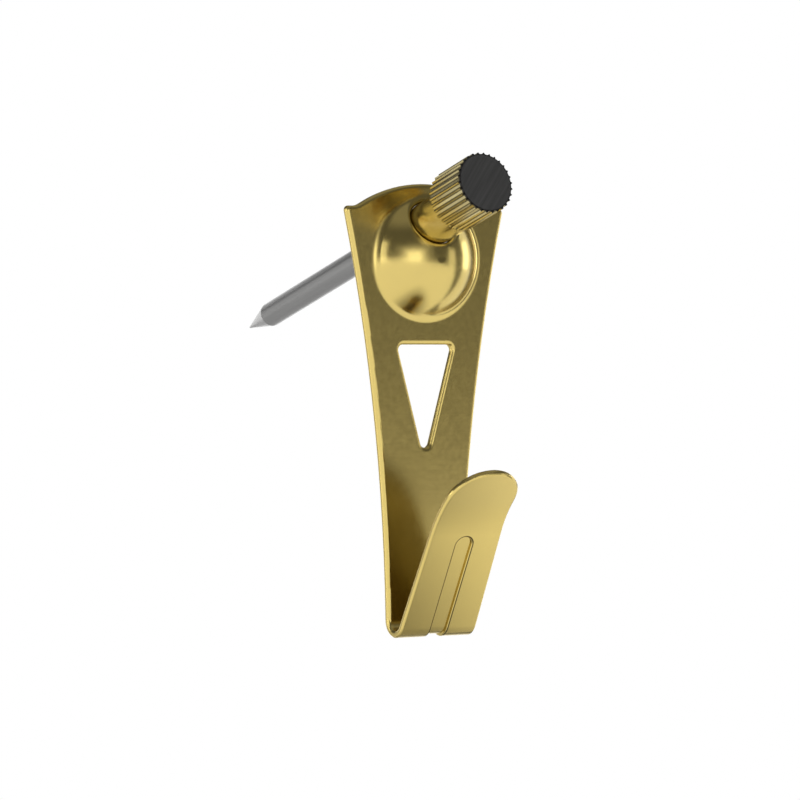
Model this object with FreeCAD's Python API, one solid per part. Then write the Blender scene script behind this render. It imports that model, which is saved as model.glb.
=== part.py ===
import FreeCAD, Part
import math
import os

# Picture hook: a folded brass-plated sheet hook hung on a steel nail with a knurled brass head.
# Millimetres and degrees. +Z is up, +Y runs into the wall, X = 0 is the plane of symmetry.
# The origin is where the nail's axis crosses the wall plane; the back of the plate lies on Y = 0.
V = FreeCAD.Vector

# sheet hook
hook_height = 36.0        # top of the crown to the underside of the fold
entry_drop = 2.98         # the nail's entry point, below the top of the crown
sheet = 0.62              # sheet thickness, the same all over
shoulder_width = 14.9     # widest place, at the top corners
waist_width = 9.24        # halfway between shoulders and fold
foot_width = 7.0          # at the fold
shoulder_flat = 0.70      # level stretch beside each corner
shoulder_drop = 1.84      # flat shoulders, below the top of the crown
crown_blend = 1.5         # hollow between crown and shoulder
edge_round = 0.32         # rounding of the sheet's edges on the inner face, which is the plate's front
edge_break = 0.14         # flat broken edge on the outer face
corner_more = 0.04        # the corners are this much rounder than the edges

# dome that the nail passes through
dome_drop = 2.95          # centre of the dome, below the nail's entry point
dome_radius = 4.7         # where the ball surface would meet the front of the plate
dome_height = 2.4
dome_fillet = 0.9         # hollow blend into the plate, on the front
dome_flare = 0.9          # rounded mouth of the dome, on the back

# cut-out
cut_drop = 9.82           # top edge, below the nail's entry point
cut_width = 5.18          # at the sharp upper corners
cut_length = 9.35         # top edge to the sharp lower tip
cut_round = 0.42

# fold and tongue
fold_inner = 0.76         # inner radius of the fold
tongue_tilt = 28.4        # away from the plate
tongue_straight = 8.73    # flat length above the fold
lip_radius = 10.0         # outward curve of the lip, on its outer face
lip_angle = 17.0          # turned by the curve of the lip
lip_flat = 3.45           # flat length at the end of the lip
lip_round = 3.15          # radius of the rounded end

# stiffening groove pressed into the outer face of the tongue and fold
groove_width = 1.44
groove_depth = 0.22
groove_break = 0.08
groove_rise = 7.65        # from the start of the tongue to the middle of the groove's round end
wrap_angle = 25.0         # how far it carries on past the lowest point of the fold

# nail and its knurled brass head
nail_tilt = 16.52         # downwards into the wall
shank_radius = 1.02
shank_reach = 29.19       # tip beyond the wall plane, along the axis
point_length = 3.85
point_flat = 0.06         # radius of the blunt tip
head_reach = 9.77         # end face in front of the wall plane, along the axis
cap_thick = 0.18          # the nail's own flat head
knurl_radius = 2.468      # over the ridges
ridge_height = 0.14
ridge_count = 30
ridge_share = 0.45        # share of the pitch taken by one ridge
knurl_length = 4.5
neck_radius = 1.86        # smooth neck behind the knurl
neck_drop = 0.60          # the neck's middle sits this far below the nail's axis
neck_centre = 0.75        # centre of the neck's rounded end, in front of the wall plane
neck_end = 0.45           # flat end of the neck, in front of the wall plane
tang_step = 0.25          # the nail is this much thinner inside the brass head
tang_gap = 0.01           # all round, between the nail's tang and the brass head
hole_gap = 0.01           # all round, between neck and the hole in the dome
hole_round = 0.36         # rolled edge of the hole on the front

corner_round = edge_round + corner_more
fold_outer = fold_inner + sheet
z_top = entry_drop
z_low = entry_drop - hook_height
z_foot = z_low + fold_outer


def unit(angle):
    """Direction in the Y-Z plane at an angle from +Y towards +Z."""
    return V(0, math.cos(math.radians(angle)), math.sin(math.radians(angle)))


def arc(a, b, c):
    return Part.Arc(a, b, c).toShape()


def line(a, b):
    return Part.makeLine(a, b)


def face_of(edges):
    return Part.Face(Part.Wire(Part.__sortEdges__(edges)))


def plate_blank():
    """Flat plate with arched crown, shoulders and curved sides, standing on the fold."""
    half = shoulder_width / 2
    z_flat = z_top - shoulder_drop
    blend_x = half - shoulder_flat
    reach = (blend_x ** 2 + shoulder_drop ** 2) / (2 * shoulder_drop)
    rise = reach - shoulder_drop
    crown_radius = reach - crown_blend
    crown_x = blend_x * crown_radius / reach
    crown_z = z_top - crown_radius + rise * crown_radius / reach
    turn = 0.5 * (math.atan2(-rise, -blend_x) - math.pi / 2)
    mid_x = blend_x + crown_blend * math.cos(turn)
    mid_z = z_flat + crown_blend + crown_blend * math.sin(turn)
    waist = waist_width / 2
    foot = foot_width / 2
    z_waist = (z_flat + z_foot) / 2
    edges = [arc(V(-crown_x, 0, crown_z), V(0, 0, z_top), V(crown_x, 0, crown_z))]
    edges.append(line(V(-foot, 0, z_foot), V(foot, 0, z_foot)))
    for side in (-1, 1):
        crown_end = V(side * crown_x, 0, crown_z)
        flat_start = V(side * blend_x, 0, z_flat)
        edges.append(arc(crown_end, V(side * mid_x, 0, mid_z), flat_start))
        edges.append(line(flat_start, V(side * half, 0, z_flat)))
        edges.append(arc(V(side * half, 0, z_flat), V(side * waist, 0, z_waist), V(side * foot, 0, z_foot)))
    solid = face_of(edges).extrude(V(0, -sheet, 0))
    corners = [e for e in solid.Edges if is_corner(e, half, z_flat)]
    return solid.makeFillet(corner_round, corners)


def is_corner(edge, half, z_flat):
    """The edges through the sheet at the two shoulder corners."""
    mid = edge.CenterOfMass
    return abs(abs(mid.x) - half) < 1e-4 and abs(mid.z - z_flat) < 1e-4


def tongue_path():
    """Points of the tongue's outer face: fold, flat, curve and lip, with the lip's direction."""
    pivot = V(0, -fold_outer, z_foot)
    start = pivot - unit(tongue_tilt) * fold_outer
    flat_end = start + unit(tongue_tilt + 90) * tongue_straight
    curve = flat_end - unit(tongue_tilt) * lip_radius
    lip_lean = tongue_tilt + lip_angle
    curve_mid = curve + unit(tongue_tilt + lip_angle / 2) * lip_radius
    curve_end = curve + unit(lip_lean) * lip_radius
    end = curve_end + unit(lip_lean + 90) * lip_flat
    return pivot, start, flat_end, curve_mid, curve_end, end, lip_lean


def outer_side():
    """Side view of the sheet's outer face: back of the plate, fold, tongue and lip."""
    pivot, start, flat_end, curve_mid, curve_end, end, lip_lean = tongue_path()
    edges = [line(V(0, 0, z_top), V(0, 0, z_foot))]
    edges.append(arc(V(0, 0, z_foot), pivot + unit(tongue_tilt / 2 - 90) * fold_outer, start))
    edges.append(line(start, flat_end))
    edges.append(arc(flat_end, curve_mid, curve_end))
    edges.append(line(curve_end, end))
    return edges


def tongue_blank():
    """Fold and tongue, full width, before the end is rounded."""
    pivot, start, flat_end, curve_mid, curve_end, end, lip_lean = tongue_path()
    t = sheet
    lean = unit(tongue_tilt)
    half_lean = unit(tongue_tilt + lip_angle / 2)
    lip = unit(lip_lean)
    under = tongue_tilt / 2 - 90
    edges = outer_side()[1:]
    edges.append(line(end, end + lip * t))
    edges.append(line(end + lip * t, curve_end + lip * t))
    edges.append(arc(curve_end + lip * t, curve_mid + half_lean * t, flat_end + lean * t))
    edges.append(line(flat_end + lean * t, start + lean * t))
    edges.append(arc(start + lean * t, pivot + unit(under) * fold_inner, V(0, -t, z_foot)))
    edges.append(line(V(0, -t, z_foot), V(0, 0, z_foot)))
    solid = face_of(edges).extrude(V(foot_width, 0, 0))
    solid.translate(V(-foot_width / 2, 0, 0))
    return solid.common(tongue_outline(end, lip_lean))


def tongue_outline(end, lip_lean):
    """Prism square to the lip: straight sides drawn tangent to a round end."""
    across = unit(lip_lean)
    along = unit(lip_lean + 90)
    foot = foot_width / 2
    low = V(0, -fold_outer, z_low) - end
    depth = low.dot(along) - fold_outer
    knee = V(0, -fold_outer, z_foot) - unit(tongue_tilt) * fold_outer - end
    knee_m = knee.dot(along)
    gap = math.hypot(foot, knee_m + lip_round)
    angle = math.atan2(knee_m + lip_round, foot) + math.acos(lip_round / gap)
    tip_x = lip_round * math.cos(angle)
    tip_m = lip_round * math.sin(angle) - lip_round
    origin = end - across * (2 * hook_height)

    def at(x, m):
        return origin + along * m + V(x, 0, 0)

    edges = [arc(at(-tip_x, tip_m), at(0, 0), at(tip_x, tip_m))]
    edges.append(line(at(-foot, depth), at(foot, depth)))
    for side in (-1, 1):
        edges.append(line(at(side * tip_x, tip_m), at(side * foot, knee_m)))
        edges.append(line(at(side * foot, knee_m), at(side * foot, depth)))
    return face_of(edges).extrude(across * (4 * hook_height))


def rim_edges(solid, outer):
    """Edges along the rim of the sheet, on its outer or its inner face."""
    side = Part.Wire(outer_side())
    picked = []
    for edge in solid.Edges:
        if isinstance(edge.Curve, Part.Line):
            run = edge.tangentAt(edge.FirstParameter)
            if abs(abs(run.x) - 1) < 1e-6 and edge.CenterOfMass.z < z_top - 2 * shoulder_drop:
                continue
            if abs(edge.Length - sheet) < 1e-3:
                continue
        spots = [Part.Vertex(0, p.y, p.z) for p in points_of(edge)]
        on_side = all(spot.distToShape(side)[0] < 1e-3 for spot in spots)
        if on_side == outer:
            picked.append(edge)
    return picked


def dome():
    """Pressed dome with a hollow blend on the front and a rounded mouth on the back."""
    ball = (dome_radius ** 2 + dome_height ** 2) / (2 * dome_height)
    ball_y = ball - dome_height - sheet
    inner = ball - sheet
    front_y = -sheet - dome_fillet
    rim = math.sqrt((ball + dome_fillet) ** 2 - (front_y - ball_y) ** 2)
    mouth = math.sqrt((inner + dome_flare) ** 2 - (dome_flare + ball_y) ** 2)
    front_end = math.atan2(front_y - ball_y, rim)
    back_end = math.atan2(-dome_flare - ball_y, mouth)
    front_mid = (front_end - math.pi / 2) / 2
    back_mid = (back_end - math.pi / 2) / 2
    z0 = -dome_drop

    def spot(r, y):
        return V(r, y, z0)

    def on_ball(radius, angle):
        return spot(radius * math.cos(angle), ball_y + radius * math.sin(angle))

    front_turn = spot(rim - dome_fillet * math.cos(front_mid), front_y - dome_fillet * math.sin(front_mid))
    back_turn = spot(mouth - dome_flare * math.cos(back_mid), -dome_flare - dome_flare * math.sin(back_mid))
    edges = [arc(spot(0, ball_y - ball), on_ball(ball, front_mid), on_ball(ball, front_end))]
    edges.append(arc(on_ball(ball, front_end), front_turn, spot(rim, -sheet)))
    edges.append(line(spot(rim, -sheet), spot(rim, 0)))
    edges.append(line(spot(rim, 0), spot(mouth, 0)))
    edges.append(arc(spot(mouth, 0), back_turn, on_ball(inner, back_end)))
    edges.append(arc(on_ball(inner, back_end), on_ball(inner, back_mid), spot(0, ball_y - inner)))
    edges.append(line(spot(0, ball_y - inner), spot(0, ball_y - ball)))
    solid = face_of(edges).revolve(V(0, 0, z0), V(0, 1, 0), 360)
    opening = Part.makeCylinder(rim, 4 * sheet, V(0, -2 * sheet, z0), V(0, 1, 0))
    return solid, opening, Part.Wire(edges[:2])


def cut_out():
    """Upside-down triangle with rounded corners, through the plate."""
    half = cut_width / 2
    left = V(-half, -2 * sheet, -cut_drop)
    right = V(half, -2 * sheet, -cut_drop)
    tip = V(0, -2 * sheet, -cut_drop - cut_length)
    prism = face_of([line(left, right), line(right, tip), line(tip, left)]).extrude(V(0, 4 * sheet, 0))
    corners = [e for e in prism.Edges if abs(e.tangentAt(e.FirstParameter).y) > 0.99]
    return prism.makeFillet(cut_round, corners)


def groove():
    """Round-ended groove that runs down the tongue and under the fold."""
    pivot, start, flat_end, curve_mid, curve_end, end, lip_lean = tongue_path()
    lean = unit(tongue_tilt)
    top = start + unit(tongue_tilt + 90) * groove_rise
    deep = fold_outer - groove_depth
    clear = fold_outer + groove_depth
    last = unit(wrap_angle - 90)
    mid = unit((wrap_angle + tongue_tilt - 270) / 2)
    out = lean * -groove_depth
    edges = [line(top + out, top - out), line(top - out, pivot - lean * deep)]
    edges.append(arc(pivot - lean * deep, pivot + mid * deep, pivot + last * deep))
    edges.append(line(pivot + last * deep, pivot + last * clear))
    edges.append(arc(pivot + last * clear, pivot + mid * clear, pivot - lean * clear))
    edges.append(line(pivot - lean * clear, top + out))
    strip = face_of(edges).extrude(V(groove_width, 0, 0))
    strip.translate(V(-groove_width / 2, 0, 0))
    end_round = Part.makeCylinder(groove_width / 2, 2 * groove_depth, top + out, lean)
    return strip.fuse(end_round).removeSplitter()


def along_nail(shape):
    """Turn a shape built on +Z so that +Z runs out of the wall along the nail."""
    turned = shape.copy()
    turned.rotate(V(0, 0, 0), V(1, 0, 0), 90 - nail_tilt)
    return turned


def real_edges(solid):
    """All edges but the ones shrunk to a point, such as the pole of a ball."""
    return [e for e in solid.Edges if e.Length > 1e-3]


def points_of(edge):
    first = edge.FirstParameter
    step = (edge.LastParameter - first) / 4
    return [edge.valueAt(first + i * step) for i in range(5)]


def cut_out_rims(solid, y):
    """Edges of the cut-out on the front or the back of the plate."""
    picked = []
    for edge in solid.Edges:
        mid = edge.CenterOfMass
        level = abs(mid.y - y) < 1e-6
        within = -cut_drop - cut_length < mid.z < -cut_drop + 1e-3
        if level and within and abs(mid.x) < cut_width / 2 + 1e-3:
            picked.append(edge)
    return picked


def groove_rims(solid):
    """Edges of the groove on the outer face of the tongue and fold."""
    pivot, start, flat_end, curve_mid, curve_end, end, lip_lean = tongue_path()
    lean = unit(tongue_tilt)
    picked = []
    for edge in real_edges(solid):
        spots = points_of(edge)
        inside = all(abs(p.x) < groove_width / 2 + 1e-3 for p in spots)
        on_flat = all(abs((p - start).dot(lean)) < 1e-4 for p in spots)
        on_fold = all(abs(math.hypot(p.y - pivot.y, p.z - pivot.z) - fold_outer) < 1e-4 for p in spots)
        cross = isinstance(edge.Curve, Part.Line) and abs(edge.tangentAt(edge.FirstParameter).x) > 0.99
        if inside and on_flat and not cross or inside and on_fold:
            picked.append(edge)
    return picked


def hole_rim(solid, skin):
    """Edges of the nail hole on the outside of the dome, whose side view is the skin."""
    axis = unit(180 - nail_tilt)
    base = unit(90 - nail_tilt) * -neck_drop
    picked = []
    for edge in real_edges(solid):
        spots = points_of(edge)
        away = [p - base - axis * (p - base).dot(axis) for p in spots]
        ring = all(abs(v.Length - neck_radius - hole_gap) < 1e-3 for v in away)
        side = [Part.Vertex(math.hypot(p.x, p.z + dome_drop), p.y, -dome_drop) for p in spots]
        if ring and all(v.distToShape(skin)[0] < 1e-3 for v in side):
            picked.append(edge)
    return picked


def hook_plate():
    solid = plate_blank().fuse(tongue_blank()).removeSplitter()
    solid = solid.makeFillet(edge_round, rim_edges(solid, False))
    solid = solid.makeChamfer(edge_break, rim_edges(solid, True))
    bump, opening, skin = dome()
    solid = solid.cut(opening).fuse(bump).cut(cut_out()).removeSplitter()
    solid = solid.makeFillet(edge_round, cut_out_rims(solid, -sheet))
    solid = solid.makeChamfer(edge_break, cut_out_rims(solid, 0))
    solid = solid.cut(groove()).removeSplitter()
    solid = solid.makeChamfer(groove_break, groove_rims(solid))
    hole = Part.makeCylinder(neck_radius + hole_gap, head_reach + sheet, V(0, -neck_drop, -sheet))
    solid = solid.cut(along_nail(hole)).removeSplitter()
    return solid.makeFillet(hole_round, hole_rim(solid, skin))


def ridged_face(z):
    """Outline of the knurl: narrow ridges with flat valleys between them."""
    pitch = 2 * math.pi / ridge_count
    root = knurl_radius - ridge_height
    half = pitch * ridge_share / 2

    def at(radius, angle):
        return V(radius * math.cos(angle), radius * math.sin(angle), z)

    corners = []
    for i in range(ridge_count):
        a = i * pitch
        corners += [at(root, a - half), at(knurl_radius, a), at(root, a + half)]
    return Part.Face(Part.makePolygon(corners + corners[:1]))


def nail():
    cap = ridged_face(head_reach - cap_thick).extrude(V(0, 0, cap_thick))
    tang_radius = shank_radius - tang_step
    tang = Part.makeCylinder(tang_radius, head_reach - cap_thick - neck_end, V(0, 0, neck_end))
    base = point_length - shank_reach
    shank = Part.makeCylinder(shank_radius, neck_end - base, V(0, 0, base))
    point = Part.makeCone(point_flat, shank_radius, point_length, V(0, 0, -shank_reach))
    return along_nail(cap.fuse([tang, shank, point]).removeSplitter())


def knurled_head():
    """Brass head: knurled grip, smooth neck with a rounded end, bored for the nail."""
    front = head_reach - cap_thick
    back = head_reach - knurl_length
    grip = ridged_face(back).extrude(V(0, 0, front - back))
    middle = V(0, -neck_drop, neck_centre)
    neck = Part.makeCylinder(neck_radius, back - neck_centre, middle)
    rounded = Part.makeSphere(neck_radius, middle)
    body = grip.fuse([neck, rounded]).removeSplitter()
    trim = Part.makeCylinder(2 * knurl_radius, front - neck_end, V(0, 0, neck_end))
    body = body.common(trim)
    bore = Part.makeCylinder(shank_radius - tang_step + tang_gap, head_reach, V(0, 0, 0))
    return along_nail(body.cut(bore).removeSplitter())


os.makedirs("parts", exist_ok=True)
for name, build in (("hook_plate", hook_plate), ("nail", nail), ("knurled_head", knurled_head)):
    shape = build()
    solid = shape.Solids[0] if len(shape.Solids) == 1 else shape
    box = solid.optimalBoundingBox(True, False)
    print(name, solid.ShapeType, "valid", solid.isValid(), "volume %.2f mm3" % solid.Volume)
    print("  x %.2f..%.2f y %.2f..%.2f" % (box.XMin, box.XMax, box.YMin, box.YMax))
    print("  z %.2f..%.2f" % (box.ZMin, box.ZMax))
    solid.exportStep("parts/" + name + ".step")
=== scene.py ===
# %% [markdown]
# # A brass picture hook on its nail
#
# The hook is one strip of sheet metal, pressed and folded, and it hangs on a slanting steel nail with a
# knurled brass head. The shapes come from the CAD model, in metres: +Z is up, +Y runs into the wall, and the
# nail crosses the wall plane at the origin. All the metal is already modelled there, so this lesson adds no mesh
# of its own but the floor. It gives the three pieces their finishes, a stage, lights and a camera.

# %% Load the frame
import math

import bpy
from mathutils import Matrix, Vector

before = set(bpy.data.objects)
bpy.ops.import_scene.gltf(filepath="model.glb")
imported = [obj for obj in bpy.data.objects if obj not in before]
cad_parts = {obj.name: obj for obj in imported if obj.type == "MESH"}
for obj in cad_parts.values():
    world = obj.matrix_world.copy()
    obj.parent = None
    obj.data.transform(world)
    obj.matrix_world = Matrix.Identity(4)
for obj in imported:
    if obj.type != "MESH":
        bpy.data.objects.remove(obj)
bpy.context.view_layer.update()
print("nodes", sorted(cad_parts))

# %% [markdown]
# ## Starting a finish
#
# A finish is a small network of nodes: textures vary a colour, a roughness or a height, and the shader turns that
# into light. It could be wired by hand in the node editor. Written out, with one short helper for each kind of
# step, it reads from top to bottom and can be changed in one place.


# %% Start a finish
def start_finish(name):
    finish = bpy.data.materials.new(name)
    finish.use_nodes = True
    tree = finish.node_tree
    return finish, tree, tree.nodes["Principled BSDF"]


def add_node(tree, kind, **settings):
    node = tree.nodes.new(kind)
    for key, value in settings.items():
        setattr(node, key, value)
    return node


def join(tree, source, target):
    tree.links.new(source, target)


def dress(node, finish):
    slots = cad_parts[node].data.materials
    slots.clear()
    slots.append(finish)
    print(node, "wears", finish.name)


print("pieces to dress:", len(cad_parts))

# %% [markdown]
# ## Patterns with a real size
#
# Every pattern reads Object coordinates, so it has a size in metres and stays put on the metal from every side.
# A noise gives the unevenness of real metal, a change of range sets how strong it is, and a mix of two
# colours makes it visible.


# %% Patterns
def object_space(tree, scale=(1, 1, 1)):
    """Object coordinates; a small scale stretches the pattern."""
    where = add_node(tree, "ShaderNodeTexCoord")
    space = add_node(tree, "ShaderNodeMapping")
    space.inputs["Scale"].default_value = scale
    join(tree, where.outputs["Object"], space.inputs["Vector"])
    return space.outputs["Vector"]


def noise(tree, vector, scale, detail=3.0, rough=0.55):
    node = add_node(tree, "ShaderNodeTexNoise")
    node.inputs["Scale"].default_value = scale
    node.inputs["Detail"].default_value = detail
    node.inputs["Roughness"].default_value = rough
    join(tree, vector, node.inputs["Vector"])
    return node.outputs["Fac"]


def spread(tree, value, low, high, start=0.3, stop=0.7):
    """Map start..stop, at first a noise's middle range, onto low..high."""
    node = add_node(tree, "ShaderNodeMapRange")
    node.inputs["From Min"].default_value = start
    node.inputs["From Max"].default_value = stop
    node.inputs["To Min"].default_value = low
    node.inputs["To Max"].default_value = high
    join(tree, value, node.inputs["Value"])
    return node.outputs["Result"]


def blend(tree, value, first, second):
    """A mix of two colours; each is a socket or three numbers."""
    node = add_node(tree, "ShaderNodeMix", data_type="RGBA")
    join(tree, value, node.inputs["Factor"])
    for name, colour in (("A", first), ("B", second)):
        if isinstance(colour, tuple):
            node.inputs[name].default_value = (*colour, 1)
        else:
            join(tree, colour, node.inputs[name])
    return node.outputs["Result"]


print("a noise of scale 1000 has spots of about a millimetre")

# %% [markdown]
# ## Brass plating on the sheet
#
# The strip is bright plated: a mirror that is slightly clouded. A broad noise shifts its colour a little, as
# plating does where it is thicker, and a fine one varies how cloudy the mirror is. One flat colour would be
# quicker, but metal without any unevenness looks like plastic.

# %% Plating
thick_plating = (0.622, 0.484, 0.158)
thin_plating = (0.598, 0.464, 0.154)
brass_sheet, tree, shader = start_finish("brass_sheet")
shader.inputs["Metallic"].default_value = 1.0
plain = object_space(tree)
cloud = noise(tree, plain, 260)
speck = noise(tree, plain, 2600)
plating = blend(tree, spread(tree, cloud, 0, 1), thick_plating, thin_plating)
join(tree, spread(tree, speck, 0.170, 0.215), shader.inputs["Roughness"])
print("plating started with", len(tree.nodes), "nodes")

# %% [markdown]
# ## Painted shade round the groove
#
# A groove is pressed into the tongue, and a thin dark line of painted shade runs along its upper edge. It could
# be painted on an unwrapped mesh. Here the distance from the groove's middle is worked out from the place on the
# tongue, which leans out of the upright, so the line follows the groove all the way round.


# %% Sums on places
def maths(tree, operation, first, second=0.0):
    """One sum on two values; each is a socket or a number."""
    node = add_node(tree, "ShaderNodeMath", operation=operation)
    for socket, value in zip(node.inputs, (first, second)):
        if isinstance(value, (int, float)):
            socket.default_value = value
        else:
            join(tree, value, socket)
    return node.outputs["Value"]


def measure(tree, vector, direction):
    """How far a place lies along a direction."""
    node = add_node(tree, "ShaderNodeVectorMath", operation="DOT_PRODUCT")
    node.inputs[1].default_value = direction
    join(tree, vector, node.inputs[0])
    return node.outputs["Value"]


def distance(tree, first, second):
    """Length of the slant over two legs."""
    legs = maths(tree, "ADD", maths(tree, "POWER", first, 2.0), maths(tree, "POWER", second, 2.0))
    return maths(tree, "SQRT", legs)


print("sums read places in metres")

# %% Place on the tongue
up_tongue = (0, -0.4756, 0.8797)
off_tongue = (0, -0.8797, -0.4756)
tongue_start = -0.027177
tongue_face = 0.017642
groove_rise = 0.00765
across = measure(tree, plain, (1, 0, 0))
along = maths(tree, "ADD", measure(tree, plain, up_tongue), -tongue_start)
outwards = maths(tree, "ADD", measure(tree, plain, off_tongue), -tongue_face)
on_tongue = spread(tree, outwards, 0, 1, start=-0.00045, stop=-0.00030)
beyond = maths(tree, "MAXIMUM", maths(tree, "SUBTRACT", along, groove_rise), 0.0)
from_middle = distance(tree, across, beyond)
print("groove ends", groove_rise * 1000, "mm up the tongue")

# %% Painted shade line along the groove's edge
line_radius = 0.00082
groove_edge_shade_colour = (0.090, 0.069, 0.028)
from_line = maths(tree, "ABSOLUTE", maths(tree, "SUBTRACT", from_middle, line_radius))
line = spread(tree, from_line, 1, 0, start=0.00003, stop=0.00006)
line = maths(tree, "MULTIPLY", line, on_tongue)
# painted shade: a thin dark line along the groove's upper edge is mixed into the plating colour
join(tree, blend(tree, line, plating, groove_edge_shade_colour), shader.inputs["Base Color"])
print("line lies", line_radius * 1000, "mm from the groove's middle")

# %% [markdown]
# ## Soft edges and rolled grain
#
# Pressing leaves no edge of a sheet quite sharp. A bevel modifier would change the CAD shape, so a Bevel node
# rounds the shading alone, and the groove, whose walls are crisp, keeps its true normals. Over that lies the
# faint grain of rolled sheet: a noise stretched across the strip, which tilts the surface by a hair.


# %% Relief and soft edges
def add_relief(tree, shader, height, strength):
    relief = add_node(tree, "ShaderNodeBump")
    relief.inputs["Strength"].default_value = strength
    relief.inputs["Distance"].default_value = 0.00002
    join(tree, height, relief.inputs["Height"])
    join(tree, relief.outputs["Normal"], shader.inputs["Normal"])
    return relief


def soft_edge(tree, radius):
    """Normals rounded over sharp edges."""
    node = add_node(tree, "ShaderNodeBevel", samples=6)
    node.inputs["Radius"].default_value = radius
    return node.outputs["Normal"]


edge_radius = 0.00014
grain = noise(tree, object_space(tree, scale=(0.06, 1, 1)), 5200, detail=2.0)
relief = add_relief(tree, shader, grain, 0.045)
near_groove = spread(tree, from_middle, 1, 0, start=0.0011, stop=0.0013)
facing = add_node(tree, "ShaderNodeNewGeometry")
pick = add_node(tree, "ShaderNodeMix", data_type="VECTOR")
join(tree, maths(tree, "MULTIPLY", near_groove, on_tongue), pick.inputs["Factor"])
join(tree, soft_edge(tree, edge_radius), pick.inputs["A"])
join(tree, facing.outputs["Normal"], pick.inputs["B"])
join(tree, pick.outputs["Result"], relief.inputs["Normal"])
dress("hook_plate", brass_sheet)

# %% [markdown]
# ## Turned brass on the head
#
# The head is solid brass from a lathe, with fine rings round its axis. The nail slants, so three directions are
# set up that follow it, and each pattern is measured along them. A Mapping node could turn the space instead, but
# it stretches before it turns, and the rings would come out askew.

# %% Directions along the nail
nail_tilt = math.radians(16.52)
nail_side = Vector((1, 0, 0))
nail_up = Vector((0, math.sin(nail_tilt), math.cos(nail_tilt)))
nail_out = Vector((0, -math.cos(nail_tilt), math.sin(nail_tilt)))


def along_axes(tree, *directions):
    """Object coordinates measured along three directions; a short one stretches the pattern."""
    where = add_node(tree, "ShaderNodeTexCoord")
    axes = add_node(tree, "ShaderNodeCombineXYZ")
    for socket, direction in zip(axes.inputs, directions):
        join(tree, measure(tree, where.outputs["Object"], direction), socket)
    return axes.outputs["Vector"]


print("nail comes out along", [round(v, 3) for v in nail_out])

# %% Turned brass
light_brass = (0.620, 0.530, 0.265)
deep_brass = (0.580, 0.495, 0.250)
turned_brass, tree, shader = start_finish("turned_brass")
shader.inputs["Metallic"].default_value = 1.0
plain = object_space(tree)
rings = along_axes(tree, nail_side * 0.05, nail_up * 0.05, nail_out)
brass = blend(tree, spread(tree, noise(tree, plain, 700), 0, 1), light_brass, deep_brass)
join(tree, spread(tree, noise(tree, rings, 6000), 0.16, 0.22), shader.inputs["Roughness"])
add_relief(tree, shader, noise(tree, rings, 9000), 0.08)
print("rings follow the lathe")

# %% [markdown]
# ## Painted shade in the knurl
#
# Painted shade darkens the knurl at the foot of each ridge, where ridge and valley meet. The angle round the
# nail, counted in ridges and folded back at each half, tells how far a place is from the nearest ridge. So all
# thirty get their two dark lines from one sum, the same on every side.

# %% Painted shade at the ridge feet
ridge_count = 30
ridge_share = 0.45
ridge_foot_shade_colour = (0.110, 0.090, 0.040)
turn = maths(tree, "ARCTAN2", measure(tree, plain, nail_up), measure(tree, plain, nail_side))
from_ridge = maths(tree, "PINGPONG", maths(tree, "MULTIPLY", turn, ridge_count / math.tau), 0.5)
from_foot = maths(tree, "ABSOLUTE", maths(tree, "SUBTRACT", from_ridge, ridge_share / 2))
on_knurl = spread(tree, measure(tree, plain, nail_out), 0, 1, start=0.0052, stop=0.0053)
painted_ridge_shade = maths(tree, "MULTIPLY", spread(tree, from_foot, 0.9, 0, start=0.04, stop=0.11), on_knurl)
# painted shade: dark lines at the foot of every ridge are mixed into the brass colour
join(tree, blend(tree, painted_ridge_shade, brass, ridge_foot_shade_colour), shader.inputs["Base Color"])
dress("knurled_head", turned_brass)

# %% [markdown]
# ## Steel of the nail
#
# The shank is drawn wire, with lines along its length. The flat end of the head is darker and brushed one way,
# with lighter streaks that are partly its brushed grain and partly painted highlight, and its teeth are darker
# still. Two materials would need two sets of faces, so one finish does both: the height along the nail picks
# which of them shows.

# %% Drawn wire
dark_wire = (0.285, 0.283, 0.279)
light_wire = (0.310, 0.308, 0.303)
nail_steel, tree, shader = start_finish("nail_steel")
shader.inputs["Metallic"].default_value = 1.0
plain = object_space(tree)
drawn = along_axes(tree, nail_side, nail_up, nail_out * 0.04)
wire = blend(tree, spread(tree, noise(tree, drawn, 3000), 0, 1), dark_wire, light_wire)
add_relief(tree, shader, noise(tree, drawn, 7000), 0.03)
print("wire lines are stretched", round(1 / 0.04), "times")

# %% End face
dark_streak = (0.150, 0.149, 0.146)
light_streak = (0.215, 0.213, 0.209)
tooth_colour = (0.020, 0.020, 0.020)
brush_way = nail_side * 0.635 + nail_up * 0.773
brush_side = nail_side * 0.773 - nail_up * 0.635
brushed = along_axes(tree, brush_side, brush_way * 0.04, nail_out * 0)
brush_and_highlight_streaks = noise(tree, brushed, 3600, detail=4.0)
# painted highlight over brushed grain: lighter streaks are mixed into the end face's colour
end_face = blend(tree, spread(tree, brush_and_highlight_streaks, 0, 1), dark_streak, light_streak)
from_axis = distance(tree, measure(tree, plain, nail_side), measure(tree, plain, nail_up))
teeth = spread(tree, from_axis, 0, 1, start=0.00222, stop=0.00234)
end_face = blend(tree, teeth, end_face, tooth_colour)
is_end = spread(tree, measure(tree, plain, nail_out), 0, 1, start=0.0090, stop=0.0092)
join(tree, blend(tree, is_end, wire, end_face), shader.inputs["Base Color"])
join(tree, spread(tree, is_end, 0.30, 0.42, start=0, stop=1), shader.inputs["Roughness"])
dress("nail", nail_steel)

# %% [markdown]
# ## Stage
#
# Polished brass shows what stands around it, so the stage is part of the finish. To the camera the floor is plain
# white from every side. Reflections see it darker close under the hook, so the tongue grades from fold to lip as
# in the photograph. A dark card on the table would do the same, but it would show.

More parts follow.
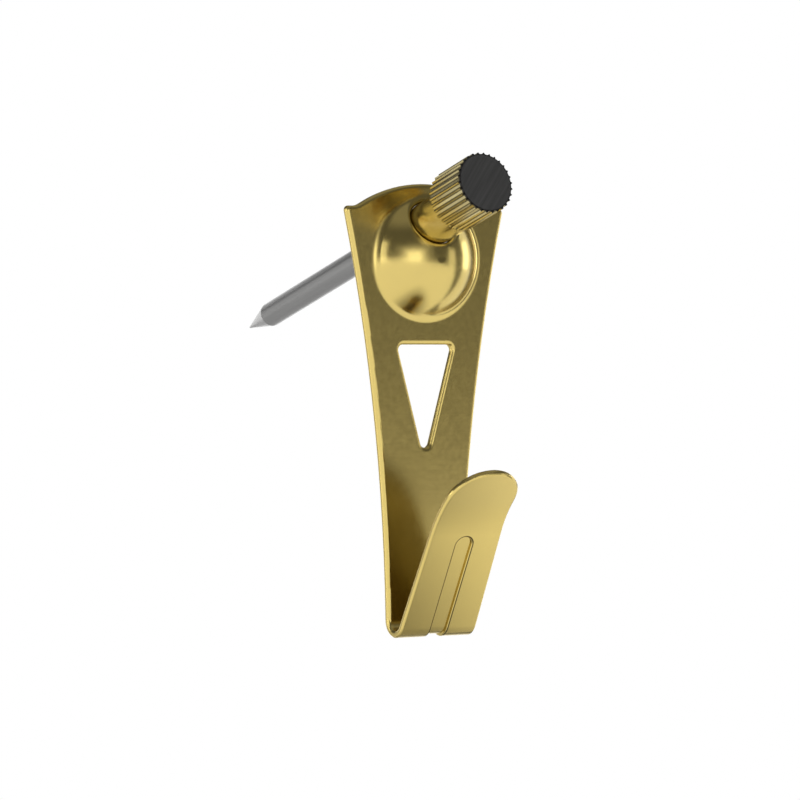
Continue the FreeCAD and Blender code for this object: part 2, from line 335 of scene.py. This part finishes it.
# %% Floor
floor_size = 0.6
floor_level = -0.048
floor_behind = 0.010
view_azimuth = math.radians(-31.6)
towards_camera = Vector((math.sin(view_azimuth), -math.cos(view_azimuth), 0))
bpy.ops.object.select_all(action="DESELECT")
bpy.ops.mesh.primitive_plane_add(size=floor_size, rotation=(0, 0, view_azimuth))
floor = bpy.context.object
floor.name = "floor"
floor.location = towards_camera * (floor_size / 2 - floor_behind) + Vector((0, 0, floor_level))
bpy.ops.object.transform_apply(location=True, rotation=True)
print("floor at", round(floor.data.vertices[0].co.z, 4))

# %% White of the floor
white, tree, shader = start_finish("white_floor")
shader.inputs["Base Color"].default_value = (0.8, 0.8, 0.8, 1)
shader.inputs["Roughness"].default_value = 0.9
shader.inputs["Emission Color"].default_value = (1, 1, 1, 1)
from_hook = add_node(tree, "ShaderNodeVectorMath", operation="LENGTH")
join(tree, object_space(tree, scale=(1, 0.4, 0)), from_hook.inputs[0])
shade = spread(tree, from_hook.outputs["Value"], 0.11, 0.90, start=0.0086, stop=0.0209)
ray = add_node(tree, "ShaderNodeLightPath")
shade = maths(tree, "MAXIMUM", shade, ray.outputs["Is Camera Ray"])
join(tree, shade, shader.inputs["Emission Strength"])
floor.data.materials.append(white)
print("floor wears", white.name)

# %% [markdown]
# ## Room
#
# Brass looks deep only where it mirrors something dim. The room is therefore grey in reflections, lightest at the
# horizon and overhead, and white only to the camera, which gives the photograph's empty background. A plain white
# room would be simpler, but it would wash the metal out.

# %% Room
room = bpy.data.worlds.new("room")
bpy.context.scene.world = room
room.use_nodes = True
tree = room.node_tree
where = add_node(tree, "ShaderNodeTexCoord")
height = add_node(tree, "ShaderNodeSeparateXYZ")
join(tree, where.outputs["Generated"], height.inputs["Vector"])
ramp = add_node(tree, "ShaderNodeValToRGB")
join(tree, spread(tree, height.outputs["Z"], 0, 1, start=-1, stop=1), ramp.inputs["Fac"])
stops = ramp.color_ramp.elements
stops[0].position, stops[0].color = 0.0, (0.15, 0.15, 0.15, 1)
stops[1].position, stops[1].color = 1.0, (0.30, 0.30, 0.30, 1)
for place, level in ((0.41, 0.18), (0.50, 0.23), (0.54, 0.13), (0.85, 0.13), (0.94, 0.32)):
    stop = stops.new(place)
    stop.color = (level, level, level, 1)
print("room has", len(stops), "levels")

# %% White background
ray = add_node(tree, "ShaderNodeLightPath")
seen = add_node(tree, "ShaderNodeMix", data_type="RGBA")
seen.inputs["B"].default_value = (1, 1, 1, 1)
join(tree, ray.outputs["Is Camera Ray"], seen.inputs["Factor"])
join(tree, ramp.outputs["Color"], seen.inputs["A"])
join(tree, seen.outputs["Result"], tree.nodes["Background"].inputs["Color"])
print("background is white to the camera")

# %% [markdown]
# ## Soft boxes
#
# Each highlight on the metal is the picture of a lamp, so the lamps are placed by direction, in degrees as the
# hook sees them. One large box in front would give the dome a highlight with a hard rim. Four boxes, one before
# the other, make it fade out. They stand at different distances, because lamps in one plane hide each other.


# %% Soft boxes
def soft_box(name, azimuth, elevation, wide, tall, glow, reach=0.6):
    """A square lamp that faces the hook: azimuth from the front, positive to the right."""
    a = math.radians(azimuth)
    e = math.radians(elevation)
    away = Vector((math.sin(a) * math.cos(e), -math.cos(a) * math.cos(e), math.sin(e)))
    lamp = bpy.data.lights.new(name, "AREA")
    lamp.shape = "RECTANGLE"
    lamp.size = 2 * reach * math.tan(math.radians(wide / 2))
    lamp.size_y = 2 * reach * math.tan(math.radians(tall / 2))
    lamp.energy = math.pi * lamp.size * lamp.size_y * glow
    stand = bpy.data.objects.new(name, lamp)
    stand.location = Vector((0, 0, -0.004)) + away * reach
    stand.rotation_euler = (-away).to_track_quat("-Z", "Y").to_euler()
    bpy.context.scene.collection.objects.link(stand)
    print(name, round(lamp.energy, 3), "W")


for wide, tall, glow in ((64, 42, 0.15), (46, 34, 0.25), (34, 27, 0.50), (22, 20, 0.90)):
    soft_box("front_box_%d" % wide, -14, 1, wide, tall, glow, reach=0.5 + wide / 200)

# %% Side lamps and cards
soft_box("left_box", -85, 2, 50, 52, 1.5)
soft_box("right_box", 91, -9, 26, 80, 1.0)
soft_box("right_spot", 86, 4, 16, 22, 1.7, reach=0.55)
soft_box("left_haze", -46, -4, 38, 12, 0.6)
soft_box("right_haze", 18, -8, 36, 7, 0.45)
soft_box("side_card", 52, 1, 14, 22, 0.9)

# %% Lamps behind
soft_box("back_card", 153, -1.5, 78, 41, 1.35)
soft_box("left_strip", -126, -3, 14, 40, 2.0, reach=0.55)
soft_box("left_back", -148, -6, 52, 28, 0.45)
soft_box("high_back", 132, 45, 40, 40, 0.12)
soft_box("low_back", -165, -42, 100, 44, 0.55)

# %% [markdown]
# ## Camera
#
# The photograph was taken from the left, level with the hook, with a long lens. A camera could be set by eye.
# This one was fitted to points of the hook, which gives its place and focal length.

# %% Camera
lens = bpy.data.cameras.new("camera")
lens.sensor_width = 36
lens.lens = 169.15
lens.clip_start = 0.01
camera = bpy.data.objects.new("camera", lens)
camera.location = (-0.15864, -0.25457, -0.01022)
aim = Vector((-0.0020592, 0, -0.014217)) - camera.location
camera.rotation_euler = aim.to_track_quat("-Z", "Y").to_euler()
bpy.context.scene.collection.objects.link(camera)
bpy.context.scene.camera = camera
bpy.context.scene.view_settings.view_transform = "Standard"
print("camera", round(aim.length, 4), "m away")
